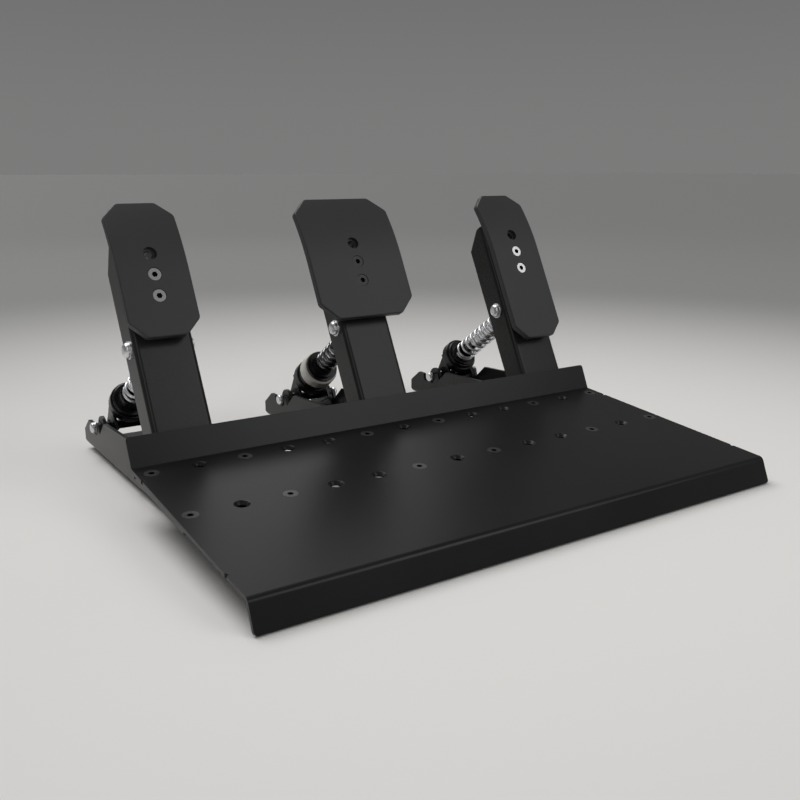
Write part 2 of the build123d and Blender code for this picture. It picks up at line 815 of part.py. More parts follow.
def make_spring_seat(pedal):
    cx = centre_x(pedal)
    size = strut_sizes[pedal]
    bore = size["sleeve_radius"] + bore_gap
    end = elastomer_start if pedal == "brake" else size["cup_start"]
    steps = [(size["seat_start"], end, size["seat_radius"])]
    if pedal == "brake":
        start = size["seat_start"]
        steps = [
            (start, start + seat_step, size["seat_radius"] - 2 * seat_step_in),
            (start + seat_step, start + 2 * seat_step, size["seat_radius"] - seat_step_in),
            (start + 2 * seat_step, end, size["seat_radius"]),
        ]
    with BuildPart() as seat:
        for start, stop, radius in steps:
            with BuildSketch(cross_plane(start, cx)):
                Circle(radius)
                Circle(bore, mode=Mode.SUBTRACT)
            extrude(amount=stop - start)
    save(seat, pedal + "_spring_seat")


def make_elastomer():
    cx = centre_x("brake")
    size = strut_sizes["brake"]
    bore = size["sleeve_radius"] + bore_gap
    with BuildPart() as elastomer:
        with BuildSketch(cross_plane(elastomer_start, cx)):
            Circle(elastomer_radius)
            Circle(bore, mode=Mode.SUBTRACT)
        extrude(amount=size["cup_start"] - elastomer_start)
        rims = elastomer.edges().filter_by(GeomType.CIRCLE).sort_by(lambda e: -e.radius)[:2]
        fillet(rims, radius=elastomer_round)
    save(elastomer, "brake_elastomer")


def make_cup(pedal):
    cx = centre_x(pedal)
    size = strut_sizes[pedal]
    bore = size["sleeve_radius"] + bore_gap
    with BuildPart() as cup:
        with BuildSketch(cross_plane(size["cup_start"], cx)):
            Circle(size["cup_radius"])
            Circle(bore, mode=Mode.SUBTRACT)
        extrude(amount=cup_floor_start - size["cup_start"])
        front = cup.edges().filter_by(GeomType.CIRCLE).sort_by(lambda e: -e.radius)[:2].sort_by(Axis.Z)[-1]
        fillet(front, radius=cup_round)
        with BuildSketch(cross_plane(flange_start, cx)):
            Circle(size["flange_radius"])
            Circle(bore, mode=Mode.SUBTRACT)
        extrude(amount=cup_floor_start - flange_start)
        with BuildSketch(cross_plane(cup_floor_start, cx)):
            Circle(size["flange_radius"])
            Circle(rod_radius + running_clearance, mode=Mode.SUBTRACT)
        extrude(amount=cup_floor_end - cup_floor_start)
        rim = cup.edges().filter_by(GeomType.CIRCLE).sort_by(lambda e: -e.radius)[:2]
        chamfer(rim, length=flange_chamfer)
    save(cup, pedal + "_strut_cup")


def make_fork(pedal):
    cx = centre_x(pedal)
    side = side_plane(eye_point, strut_down, cx)
    cheek_outside = fork_cheek_inside + fork_cheek
    with BuildPart() as fork:
        with BuildSketch(cross_plane(cup_floor_end, cx)):
            Circle(fork_disc_radius)
            Rectangle(2 * cheek_outside, fork_strap_height)
            Circle(fork_bore_radius, mode=Mode.SUBTRACT)
        extrude(amount=fork_disc)
        for sign in (-1, 1):
            with BuildSketch(side.offset(sign * fork_cheek_inside)):
                with BuildLine():
                    tangent = Line((cup_floor_end, fork_top_h), (pin_t, pin_h + fork_eye_radius))
                    nose = ThreePointArc(
                        tangent @ 1, (pin_t + fork_eye_radius, pin_h), (pin_t, pin_h - fork_eye_radius)
                    )
                    Polyline(nose @ 1, (cup_floor_end, fork_low_h), (cup_floor_end, fork_top_h))
                make_face()
            extrude(amount=sign * fork_cheek)
        with BuildSketch(side.offset(-cheek_outside)):
            with Locations((pin_t, pin_h)):
                Circle(pin_radius + pin_play)
        extrude(amount=2 * cheek_outside, mode=Mode.SUBTRACT)
    save(fork, pedal + "_strut_fork")


# Coil springs: one unbroken wire on biarcs of a quarter turn
def spring_nodes(wire, coil_radius, turns, length):
    """Points and directions along the helix, one for each quarter turn."""
    closed_pitch = wire + closed_coil_gap
    height = length - wire - 2 * seat_gap
    ramp = 1 / 2
    active = turns - ramp
    active_pitch = (height - closed_pitch * (2 * closed_turns + ramp)) / (active + ramp)
    total = turns + 2 * closed_turns
    steps = round(total * quarter_turns_per_turn)

    def pitch(turn):
        near = min(turn, total - turn)
        share = min(max((near - closed_turns + ramp / 2) / ramp, 0), 1)
        return closed_pitch + (active_pitch - closed_pitch) * share

    heights = [0]
    for i in range(steps):
        quarters_passed = [i + (j + 1 / 2) / samples_per_quarter for j in range(samples_per_quarter)]
        rise = sum(pitch(quarters / quarter_turns_per_turn) for quarters in quarters_passed)
        heights.append(heights[-1] + rise / samples_per_quarter / quarter_turns_per_turn)
    stretch = height / heights[-1]
    nodes = []
    for i, climb in enumerate(heights):
        angle = i * 2 * math.pi / quarter_turns_per_turn
        slope_here = stretch * pitch(i / quarter_turns_per_turn) / (2 * math.pi)
        point = Vector(
            coil_radius * math.cos(angle),
            coil_radius * math.sin(angle),
            seat_gap + wire / 2 + climb * stretch,
        )
        way = Vector(-coil_radius * math.sin(angle), coil_radius * math.cos(angle), slope_here)
        nodes.append((point, way.normalized()))
    return nodes


def biarc(start, way_in, end, way_out):
    """Two tangent arcs from start to end with the given directions."""
    chord = end - start
    total = way_in + way_out
    bend = 2 * (1 - way_in.dot(way_out))
    along = chord.dot(total)
    reach = (-along + math.sqrt(along**2 + bend * chord.dot(chord))) / bend
    joint = (start + way_in * reach + end - way_out * reach) * (1 / 2)
    first = Edge.make_tangent_arc(start, way_in, joint)
    second = Edge.make_tangent_arc(joint, first.tangent_at(1), end)
    return [first, second]


def least_gap(edges, wire, coil_radius):
    """Smallest distance between the wire's surface and itself, measured on points."""
    points = [e.position_at(i / samples_per_edge) for e in edges for i in range(samples_per_edge)]
    around = 2 * math.pi * coil_radius
    step = around / (2 * quarter_turns_per_turn * samples_per_edge)
    half_turn = round(around / 2 / step)
    gaps = [
        (points[i] - points[j]).length - wire
        for i in range(len(points))
        for j in range(i + half_turn, min(i + half_turn + 2 * half_turn, len(points)))
    ]
    return min(gaps)


def make_spring(pedal):
    size = strut_sizes[pedal]
    wire = size["wire"]
    nodes = spring_nodes(wire, size["coil_radius"], spring_turns[pedal], size["seat_start"] - collar_end)
    place = cross_plane(collar_end, centre_x(pedal))
    points = [place.from_local_coords(point) for point, way in nodes]
    ways = [place.from_local_coords(point + way) - place.from_local_coords(point) for point, way in nodes]
    edges = [Edge.make_line(points[0] - ways[0] * wire, points[0])]
    for i in range(len(points) - 1):
        edges += biarc(points[i], ways[i], points[i + 1], ways[i + 1])
    gap = least_gap(edges[1:], wire, size["coil_radius"])
    edges.append(Edge.make_line(points[-1], points[-1] + ways[-1] * wire))
    print(pedal, "spring: least gap to itself", round(gap, 2), "mm,", len(nodes) - 1, "quarter turns")
    path = Wire(edges)
    with BuildPart() as spring:
        with BuildSketch(Plane(origin=path @ 0, z_dir=path % 0)):
            Circle(wire / 2)
        sweep(path=path)
    save(spring, pedal + "_spring")


# Rear pins and brackets of the struts
def make_strut_pins():
    head_start = base_width / 2 + pin_head_gap
    with BuildPart() as pins:
        for pedal in pedals:
            cx = centre_x(pedal)
            with BuildSketch(across(-head_start, pin_point.Y, pin_point.Z, cx)):
                Circle(pin_radius)
            extrude(amount=2 * head_start)
            for side in (-1, 1):
                plane = Plane(
                    origin=(cx + side * head_start, pin_point.Y, pin_point.Z),
                    x_dir=(0, 1, 0),
                    z_dir=(side, 0, 0),
                )
                with BuildSketch(plane):
                    Circle(pin_head_radius)
                extrude(amount=pin_head_height)
                outside = cx + side * (head_start + pin_head_height)
                rim = pins.edges().filter_by(lambda e: abs(e.center().X - outside) < match_tolerance)
                fillet(rim, radius=pin_head_round)
    save(pins, "strut_pins")


def make_strut_bracket(pedal):
    cx = centre_x(pedal)
    floor_z = base_lift + sheet
    inner = bracket_half_width - sheet
    top = (pin_point.Y, pin_point.Z + bracket_eye_radius)
    left = (pin_point.Y - bracket_eye_radius, pin_point.Z)
    right = (pin_point.Y + bracket_eye_radius, pin_point.Z)
    middle = Plane(origin=(cx, 0, 0), x_dir=(0, 1, 0), z_dir=(1, 0, 0))
    with BuildPart() as bracket:
        with BuildSketch(middle):
            with BuildLine():
                ThreePointArc(left, top, right)
                Polyline(
                    right,
                    (pin_point.Y + bracket_behind, floor_z + bracket_toe_height),
                    (pin_point.Y + bracket_behind, floor_z),
                    (pin_point.Y - bracket_ahead, floor_z),
                    (pin_point.Y - bracket_ahead, floor_z + bracket_toe_height),
                    left,
                )
            make_face()
        extrude(amount=bracket_half_width, both=True)
        with BuildSketch(Plane(origin=(cx, bend_y, 0), x_dir=(1, 0, 0), z_dir=(0, 1, 0))):
            with Locations((0, -(floor_z + sheet + overrun / 2))):
                Rectangle(2 * inner, overrun)
        extrude(amount=crease + base_reach, mode=Mode.SUBTRACT)
        with BuildSketch(across(-bracket_half_width, pin_point.Y, pin_point.Z, cx)):
            Circle(pin_radius + running_clearance)
        extrude(amount=2 * bracket_half_width, mode=Mode.SUBTRACT)
    save(bracket, pedal + "_strut_bracket")


# Position sensors
def make_sensor_housing(pedal):
    cx = centre_x(pedal)
    wall = base_width / 2 - sheet
    start, end = sensor_back
    low, high = sensor_z
    centre = (crease_y + (start + end) / 2, (low + high) / 2)
    with BuildPart() as housing:
        with BuildSketch(across(-wall, centre[0], centre[1], cx)):
            Rectangle(end - start, high - low)
        extrude(amount=sensor_width)
        inner_face = housing.faces().sort_by(Axis.X)[-1]
        fillet(inner_face.edges(), radius=sensor_round)
        socket = Plane(
            origin=(cx - wall + sensor_width / 2, crease_y + end, centre[1]),
            x_dir=(1, 0, 0),
            z_dir=(0, 1, 0),
        )
        with BuildSketch(socket):
            Rectangle(sensor_socket_width, sensor_socket_height)
        extrude(amount=-sensor_socket_depth, mode=Mode.SUBTRACT)
        for y, z in sensor_screw_places:
            with BuildSketch(across(-wall, crease_y + y, z, cx)):
                Circle(sensor_screw_radius + nut_bore_gap)
            extrude(amount=sensor_screw_depth, mode=Mode.SUBTRACT)
    save(housing, pedal + "_sensor_housing")


def make_sensor_screws():
    half = base_width / 2
    with BuildPart() as screws:
        for pedal in pedals:
            for y, z in sensor_screw_places:
                plane = across(-half, crease_y + y, z, centre_x(pedal))
                with BuildSketch(plane):
                    Circle(sensor_screw_radius)
                extrude(amount=sheet + sensor_screw_depth)
                with BuildSketch(plane):
                    Circle(sensor_screw_head_radius)
                extrude(amount=-sensor_screw_head_height, taper=head_taper)
    save(screws, "sensor_screws")


# Controller under the heel plate
def box_plane(height):
    """Plane parallel to the heel plate, at a height above its top face."""
    origin = deck_point(box_centre_columns * hole_pitch, box_centre_row, height)
    return Plane(origin=origin, x_dir=(1, 0, 0), z_dir=deck_up)


def make_control_box():
    top = -sheet - box_lid
    rear_origin = deck_point(
        box_centre_columns * hole_pitch,
        box_centre_row + box_length / 2,
        top - box_height + box_wall + board_height + board_thickness + usb_height / 2,
    )
    with BuildPart() as box:
        with BuildSketch(box_plane(top)):
            RectangleRounded(box_width, box_length, box_round)
        extrude(amount=-box_height)
        with BuildSketch(box_plane(top)):
            Rectangle(box_width - 2 * box_wall, box_length - 2 * box_wall)
        extrude(amount=-(box_height - box_wall), mode=Mode.SUBTRACT)
        spread_x = box_width / 2 - box_wall - 2 * post_radius
        spread_y = box_length / 2 - box_wall - 2 * post_radius
        with BuildSketch(box_plane(top - box_height + box_wall)):
            with GridLocations(2 * spread_x, 2 * spread_y, 2, 2):
                Circle(post_radius)
        extrude(amount=board_height)
        with BuildSketch(Plane(origin=rear_origin, x_dir=(1, 0, 0), z_dir=deck_along)):
            Rectangle(usb_width + 2 * usb_gap, usb_height + 2 * usb_gap)
        extrude(amount=-2 * box_wall, mode=Mode.SUBTRACT)
    save(box, "control_box")


def make_control_box_lid():
    with BuildPart() as lid:
        with BuildSketch(box_plane(-sheet)):
            RectangleRounded(box_width, box_length, box_round)
        extrude(amount=-box_lid)
    save(lid, "control_box_lid")


def make_control_board():
    inside_width = box_width - 2 * box_wall - 2 * board_gap
    inside_length = box_length - 2 * box_wall - 2 * board_gap
    base = -sheet - box_lid - box_height + box_wall + board_height
    top = box_plane(base + board_thickness)
    with BuildPart() as board:
        with BuildSketch(box_plane(base)):
            Rectangle(inside_width, inside_length)
        extrude(amount=board_thickness)
        with BuildSketch(top):
            Rectangle(chip_size, chip_size)
            with Locations((0, -chip_back)):
                Rectangle(chip_size / 2, chip_size)
        extrude(amount=chip_height)
        with BuildSketch(top):
            with Locations((0, box_length / 2 - usb_length / 2)):
                Rectangle(usb_width, usb_length)
        extrude(amount=usb_height)
        socket_origin = top.from_local_coords(Vector(0, box_length / 2, usb_height / 2))
        with BuildSketch(Plane(origin=socket_origin, x_dir=(1, 0, 0), z_dir=deck_along)):
            Rectangle(usb_width - 2 * usb_opening_wall, usb_height - 2 * usb_opening_wall)
        extrude(amount=-usb_length / 2, mode=Mode.SUBTRACT)
    save(board, "control_board")


make_heel_plate()
make_heel_plate_screws()
make_base_nuts()
make_rubber_feet()
make_pivot_bolts()
make_pivot_nuts()
make_strut_pins()
make_sensor_screws()
make_control_box()
make_control_box_lid()
make_control_board()
make_elastomer()
for pedal_name in pedals:
    make_base(pedal_name)
    make_strut_bracket(pedal_name)
    make_sensor_housing(pedal_name)
    make_arm(pedal_name)
    make_face_plate(pedal_name)
    make_face_spacer(pedal_name)
    make_face_fixings(pedal_name)
    make_eye_bolt(pedal_name)
    make_pivot_bushes(pedal_name)
    make_magnet_holder(pedal_name)
    make_sleeve(pedal_name)
    make_rod(pedal_name)
    make_spring_seat(pedal_name)
    make_cup(pedal_name)
    make_fork(pedal_name)
    make_spring(pedal_name)
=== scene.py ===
import bpy
import bmesh
import json
from math import cos, pi, radians, sin
from mathutils import Matrix, Vector

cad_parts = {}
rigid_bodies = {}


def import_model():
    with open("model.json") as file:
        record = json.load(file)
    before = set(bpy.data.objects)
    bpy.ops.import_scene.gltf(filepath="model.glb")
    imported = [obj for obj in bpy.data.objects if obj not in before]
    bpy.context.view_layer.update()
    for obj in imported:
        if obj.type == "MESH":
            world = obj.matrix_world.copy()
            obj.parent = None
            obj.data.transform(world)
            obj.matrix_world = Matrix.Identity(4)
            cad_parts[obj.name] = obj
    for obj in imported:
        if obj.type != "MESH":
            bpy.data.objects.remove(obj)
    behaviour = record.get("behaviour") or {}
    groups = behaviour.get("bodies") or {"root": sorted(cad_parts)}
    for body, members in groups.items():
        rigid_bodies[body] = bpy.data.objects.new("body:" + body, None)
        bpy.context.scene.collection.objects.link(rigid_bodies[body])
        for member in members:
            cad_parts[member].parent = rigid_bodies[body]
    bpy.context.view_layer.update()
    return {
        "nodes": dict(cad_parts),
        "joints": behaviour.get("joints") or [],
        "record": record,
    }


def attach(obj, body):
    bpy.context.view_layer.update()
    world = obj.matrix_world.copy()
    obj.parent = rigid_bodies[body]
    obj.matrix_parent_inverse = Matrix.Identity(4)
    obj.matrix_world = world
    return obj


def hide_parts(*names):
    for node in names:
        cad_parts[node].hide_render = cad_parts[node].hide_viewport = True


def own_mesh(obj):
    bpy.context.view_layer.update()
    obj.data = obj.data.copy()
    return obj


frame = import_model()
mm = 0.001
pedals = ("clutch", "brake", "throttle")


# Camera, at the photograph's place
cameraLook = {
    "location": (-0.39285, -0.5982, 0.2404),
    "direction": (0.5341, 0.8081, -0.2484),
    "lens": 40.58,
    "sensor": 36.0,
}


def addCamera():
    data = bpy.data.cameras.new("camera")
    data.lens = cameraLook["lens"]
    data.sensor_width = cameraLook["sensor"]
    camera = bpy.data.objects.new("camera", data)
    bpy.context.scene.collection.objects.link(camera)
    camera.location = cameraLook["location"]
    camera.rotation_euler = Vector(cameraLook["direction"]).to_track_quat("-Z", "Y").to_euler()
    bpy.context.scene.camera = camera


addCamera()


# Shader maths: a wrapped socket adds its Math node when it meets an operator
class Wire:
    def __init__(self, owner, socket):
        self.owner = owner
        self.socket = socket

    def join(self, operation, first, second):
        return self.owner.add("ShaderNodeMath", {"operation": operation}, {0: first, 1: second})

    def __add__(self, other):
        return self.join("ADD", self, other)

    def __radd__(self, other):
        return self.join("ADD", other, self)

    def __sub__(self, other):
        return self.join("SUBTRACT", self, other)

    def __rsub__(self, other):
        return self.join("SUBTRACT", other, self)

    def __mul__(self, other):
        return self.join("MULTIPLY", self, other)

    def __rmul__(self, other):
        return self.join("MULTIPLY", other, self)

    def __gt__(self, other):
        return self.join("GREATER_THAN", self, other)


mixFirst, mixSecond, mixResult = 6, 7, 2  # numbered sockets of a Mix node that is set to colour
noiseMean = 0.5  # what a noise gives on average


# A node tree that grows by one method
class NodeTree:
    def __init__(self, tree):
        self.tree = tree

    def add(self, kind, settings=None, inputs=None, out=0):
        node = self.tree.nodes.new(kind)
        for key, value in (settings or {}).items():
            if key == "stops":
                ramp = node.color_ramp.elements
                while len(ramp) < len(value):
                    ramp.new(1)
                for stop, (position, level) in zip(ramp, value):
                    stop.position = position
                    stop.color = (level, level, level, 1)
            else:
                setattr(node, key, value)
        for key, value in (inputs or {}).items():
            self.feed(node.inputs[key], value)
        return Wire(self, node.outputs[out])

    def feed(self, socket, value):
        if isinstance(value, Wire):
            self.tree.links.new(value.socket, socket)
        else:
            socket.default_value = value

    def mix(self, share, first, second):
        inputs = {"Factor": share}
        for key, colour in ((mixFirst, first), (mixSecond, second)):
            inputs[key] = colour if isinstance(colour, Wire) else (*colour, 1)
        return self.add("ShaderNodeMix", {"data_type": "RGBA"}, inputs, out=mixResult)


# A material with one shader, whose patterns lie in the object's own coordinates
class Finish(NodeTree):
    def __init__(self, name):
        self.material = bpy.data.materials.new(name)
        self.material.use_nodes = True
        super().__init__(self.material.node_tree)
        self.tree.nodes.clear()
        output = self.tree.nodes.new("ShaderNodeOutputMaterial")
        self.shader = self.tree.nodes.new("ShaderNodeBsdfPrincipled")
        self.tree.links.new(self.shader.outputs[0], output.inputs[0])
        self.place = self.add("ShaderNodeTexCoord", out="Object")

    def shade(self, values):
        for key, value in values.items():
            self.feed(self.shader.inputs[key], value)

    def noise(self, scale, detail, stretch=None):
        place = self.place
        if stretch:
            place = self.add("ShaderNodeMapping", inputs={"Vector": place, "Scale": stretch})
        return self.add("ShaderNodeTexNoise", inputs={"Vector": place, "Scale": scale, "Detail": detail})

    def ramp(self, value, stops):
        return self.add("ShaderNodeValToRGB", {"stops": stops}, {"Fac": value})

    def bump(self, height, strength, distance):
        inputs = {"Height": height, "Strength": strength, "Distance": distance}
        return self.add("ShaderNodeBump", inputs=inputs)


# Powder coats: a fine orange peel, faint clouds and a few pale dust specks
powderLook = {
    "sheet": {"dark": (0.0085, 0.0085, 0.0087), "light": (0.0135, 0.0135, 0.0138),
              "rough": 0.31, "relief": 0.22, "gloss": 0.22},
    "frame": {"dark": (0.0190, 0.0187, 0.0183), "light": (0.0280, 0.0276, 0.0270),
              "rough": 0.29, "relief": 0.20, "gloss": 0.20},
    "face": {"dark": (0.0340, 0.0340, 0.0346), "light": (0.0440, 0.0440, 0.0447),
             "rough": 0.50, "relief": 0.34, "gloss": 0.40},
}
powderPattern = {  # each noise by its scale and detail
    "cloud": (9, 4),
    "peel": (900, 2),
    "grain": (3800, 1),
    "dust": (1700, 1),
    "dustStops": ((0.0, 0.0), (0.80, 0.0), (0.86, 0.22)),
    "dustTone": (0.10, 0.10, 0.10),
    "cloudRough": 0.12,
    "peelRough": 0.08,
    "grainShare": 0.35,
    "height": 0.12 * mm,
}


def powderCoat(name, look):
    f = Finish(name)
    pattern = powderPattern
    cloud = f.noise(*pattern["cloud"])
    peel = f.noise(*pattern["peel"])
    grain = f.noise(*pattern["grain"])
    dust = f.ramp(f.noise(*pattern["dust"]), pattern["dustStops"])
    paint = f.mix(cloud, look["dark"], look["light"])
    unevenness = pattern["cloudRough"] * (cloud - noiseMean) + pattern["peelRough"] * (peel - noiseMean)
    f.shade({
        "Base Color": f.mix(dust, paint, pattern["dustTone"]),
        "Roughness": look["rough"] + unevenness,
        "Specular IOR Level": look["gloss"],
        "Normal": f.bump(peel + pattern["grainShare"] * grain, look["relief"], pattern["height"]),
    })
    return f.material


# Metals, plastics and rubbers: patches of two tones that also change the roughness, and a finer
# grain for the bump. A noise is given by its scale, its detail and, if it is drawn out, its stretch.
plated = {"patch": (140, 3), "grain": (2600, 2), "patchRough": 0.14, "grainRough": 0.10,
          "metallic": 1.0, "gloss": 0.5, "bump": (0.12, 0.04 * mm)}
oxide = {"patch": (220, 3), "grain": (2400, 2), "patchRough": 0.12, "metallic": 0.5, "gloss": 0.5,
         "bump": (0.2, 0.05 * mm)}
surfaceLook = {
    "zinc": {**plated, "dark": (0.70, 0.70, 0.71), "light": (0.84, 0.84, 0.85), "rough": 0.38},
    "chrome": {**plated, "dark": (0.78, 0.78, 0.79), "light": (0.88, 0.88, 0.89), "rough": 0.22},
    "greySteel": {**plated, "dark": (0.22, 0.22, 0.225), "light": (0.31, 0.31, 0.315), "rough": 0.44},
    "darkSteel": {**plated, "dark": (0.13, 0.13, 0.135), "light": (0.22, 0.22, 0.225), "rough": 0.19},
    "bronze": {**plated, "dark": (0.30, 0.17, 0.06), "light": (0.45, 0.28, 0.11), "rough": 0.38},
    "rod": {**plated, "dark": (0.035, 0.035, 0.037), "light": (0.065, 0.065, 0.067), "rough": 0.20,
            "grain": (2600, 2, (1, 0.1, 0.1))},
    "bolt": {**oxide, "dark": (0.012, 0.012, 0.013), "light": (0.026, 0.025, 0.025), "rough": 0.34},
    "countersunk": {**oxide, "dark": (0.045, 0.045, 0.046), "light": (0.085, 0.084, 0.083), "rough": 0.30},
    # near black and matte: painted shade for the insides of screw sockets
    "socket": {"dark": (0.002, 0.002, 0.002), "light": (0.006, 0.006, 0.006), "rough": 0.70,
               "patch": (1900, 3), "grain": (1900, 3), "patchRough": 0.2, "metallic": 0.0,
               "gloss": 0.12, "bump": (0.3, 0.05 * mm)},
    "anodised": {"dark": (0.0060, 0.0060, 0.0066), "light": (0.0120, 0.0120, 0.0128), "rough": 0.27,
                 "patch": (60, 3), "grain": (1800, 2, (0.2, 1, 1)), "patchRough": 0.10,
                 "grainRough": 0.08, "metallic": 0.2, "gloss": 0.35, "bump": (0.15, 0.04 * mm)},
    "plastic": {"dark": (0.012, 0.012, 0.013), "light": (0.021, 0.021, 0.022), "rough": 0.52,
                "patch": (40, 3), "grain": (2200, 3), "patchRough": 0.12, "metallic": 0.0,
                "gloss": 0.3, "bump": (0.5, 0.08 * mm)},
    "rubber": {"dark": (0.012, 0.012, 0.012), "light": (0.024, 0.023, 0.022), "rough": 0.78,
               "patch": (90, 4), "grain": (3000, 3), "patchRough": 0.12, "metallic": 0.0,
               "gloss": 0.25, "bump": (0.6, 0.12 * mm)},
    "elastomer": {"dark": (0.60, 0.575, 0.52), "light": (0.74, 0.715, 0.66), "rough": 0.46,
                  "patch": (120, 4), "grain": (1600, 2), "patchRough": 0.14, "metallic": 0.0,
                  "gloss": 0.5, "bump": (0.25, 0.1 * mm)},
}


def plainFinish(name, look):
    f = Finish(name)
    patch = f.noise(*look["patch"])
    grain = f.noise(*look["grain"])
    rough = look["rough"] + look["patchRough"] * (patch - noiseMean)
    if "grainRough" in look:
        rough = rough + look["grainRough"] * (grain - noiseMean)
    f.shade({
        "Base Color": f.mix(patch, look["dark"], look["light"]),
        "Metallic": look["metallic"],
        "Roughness": rough,
        "Specular IOR Level": look["gloss"],
        "Normal": f.bump(grain, *look["bump"]),
    })
    return f.material


# Controller board: tracks under green lacquer
boardLook = {
    "tracks": (260, 1, (1, 0.15, 1)),
    "trackFrom": 0.56,
    "lacquer": (0.006, 0.06, 0.02),
    "track": (0.02, 0.14, 0.05),
    "rough": 0.32,
    "trackRough": 0.12,
    "bump": (0.3, 0.1 * mm),
}


def circuitBoard(name, look):
    f = Finish(name)
    tracks = f.noise(*look["tracks"])
    copper = tracks > look["trackFrom"]
    f.shade({
        "Base Color": f.mix(copper, look["lacquer"], look["track"]),
        "Roughness": look["rough"] + look["trackRough"] * copper,
        "Normal": f.bump(tracks, *look["bump"]),
    })
    return f.material


finishes = {
    "black_powder_coat": powderCoat("heelPlateCoat", powderLook["sheet"]),
    "black_frame_paint": powderCoat("frameCoat", powderLook["frame"]),
    "face_black": powderCoat("faceCoat", powderLook["face"]),
    "countersunk_steel": plainFinish("countersunkSteel", surfaceLook["countersunk"]),
    "zinc_nut": plainFinish("zincNut", surfaceLook["zinc"]),
    "foot_rubber": plainFinish("footRubber", surfaceLook["rubber"]),
    "black_bolt": plainFinish("blackBolt", surfaceLook["bolt"]),
    "bright_bolt": plainFinish("brightBolt", surfaceLook["zinc"]),
    "grey_screw": plainFinish("greyScrew", surfaceLook["greySteel"]),
    "box_plastic": plainFinish("boxPlastic", surfaceLook["plastic"]),
    "circuit_board": circuitBoard("circuitBoard", boardLook),
    "bush_bronze": plainFinish("bushBronze", surfaceLook["bronze"]),
    "sleeve_chrome": plainFinish("sleeveChrome", surfaceLook["chrome"]),
    "dark_rod": plainFinish("darkRod", surfaceLook["rod"]),
    "black_anodised": plainFinish("blackAnodised", surfaceLook["anodised"]),
    "spring_zinc": plainFinish("springZinc", surfaceLook["zinc"]),
    "spring_dark": plainFinish("springDark", surfaceLook["darkSteel"]),
    "elastomer_beige": plainFinish("elastomerBeige", surfaceLook["elastomer"]),
}
# the near-black socket finish is painted shade, not the screws' own colour
socketShadeFinish = plainFinish("socketShade", surfaceLook["socket"])
slotOf = {entry["node"]: entry["material_slot"] for entry in frame["record"]["subparts"]}


def dress(piece, nodeName):
    piece.data.materials.clear()
    piece.data.materials.append(finishes[slotOf[nodeName]])


for nodeName, node in frame["nodes"].items():
    dress(node, nodeName)
print("finishes made:", len(finishes) + 1)


# What every new piece goes through
meshLook = {
    "weld": 0.002 * mm,
    "flat": radians(0.8),  # faces that turn less than this from each other become one
    "smooth": radians(32),  # edges that turn more than this stay sharp
}


def clearSelection():
    for other in bpy.context.view_layer.objects:
        other.select_set(False)


def workOn(piece):
    clearSelection()
    piece.select_set(True)
    bpy.context.view_layer.objects.active = piece


def bodyOf(nodeName):
    for body, members in frame["record"]["behaviour"]["bodies"].items():
        if nodeName in members:
            return body


def eyeOf(pedal):
    for joint in frame["joints"]:
        if joint["name"] == pedal + "_strut_eye":
            return Vector(joint["pos_m"])


def mergedCopy(nodeName, ending):
    source = frame["nodes"][nodeName]
    piece = source.copy()
    piece.data = source.data.copy()
    piece.name = nodeName + ending
    piece.parent = None
    for key in list(piece.keys()):
        del piece[key]
    bpy.context.scene.collection.objects.link(piece)
    workOn(piece)
    bpy.ops.object.mode_set(mode="EDIT")
    bpy.ops.mesh.select_all(action="SELECT")
    bpy.ops.mesh.remove_doubles(threshold=meshLook["weld"])
    bpy.ops.mesh.dissolve_limited(angle_limit=meshLook["flat"])
    bpy.ops.object.mode_set(mode="OBJECT")
    return piece


def smoothed(piece):  # round where it is round, and flat on broad faces beside rounded edges
    workOn(piece)
    bpy.ops.object.shade_smooth_by_angle(angle=meshLook["smooth"])
    flat = piece.modifiers.new("flat faces", "WEIGHTED_NORMAL")
    flat.mode = "FACE_AREA"
    flat.keep_sharp = True
    bpy.ops.object.modifier_apply(modifier=flat.name)


def standFor(piece, nodeName):
    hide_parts(nodeName)
    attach(piece, bodyOf(nodeName))


# Sheet pieces and strut ends with rounded edges, made from the frame's own shapes
edgeLook = {
    "heel_plate": 0.45 * mm,
    "base": 0.4 * mm,
    "arm": 0.4 * mm,
    "strut_bracket": 0.35 * mm,
    "strut_fork": 0.4 * mm,
    "strut_cup": 0.3 * mm,
}
roundLook = {"segments": 2, "angle": radians(40)}  # edges that turn more than this are rounded


def softened(nodeName, width):
    piece = mergedCopy(nodeName, ".soft")
    bevel = piece.modifiers.new("edges", "BEVEL")
    bevel.width = width
    bevel.segments = roundLook["segments"]
    bevel.limit_method = "ANGLE"
    bevel.angle_limit = roundLook["angle"]
    bpy.ops.object.modifier_apply(modifier=bevel.name)
    smoothed(piece)
    dress(piece, nodeName)
    standFor(piece, nodeName)


softened("heel_plate", edgeLook["heel_plate"])
for pedal in pedals:
    for part in ("base", "arm", "strut_bracket", "strut_fork", "strut_cup"):
        softened(pedal + "_" + part, edgeLook[part])
print("edges rounded")


# Screws with a dark hexagon socket, whose near-black colour is painted shade in the recess
screwLook = {
    "plateTilt": radians(5.1),  # of the heads' axes, from upright
    "faceTilt": radians(62.7),
    "socketRadius": 2.75 * mm,
    "socketDepth": 3.5 * mm,
    "rimDepth": 0.01 * mm,  # faces this near to the top are a head's rim
}


def islandsOf(shape):  # the separate screws and nuts of one mesh
    loose = set(shape.faces)
    while loose:
        island = {loose.pop()}
        waiting = list(island)
        while waiting:
            for side in waiting.pop().edges:
                for face in side.link_faces:
                    if face in loose:
                        loose.discard(face)
                        island.add(face)
                        waiting.append(face)
        yield island
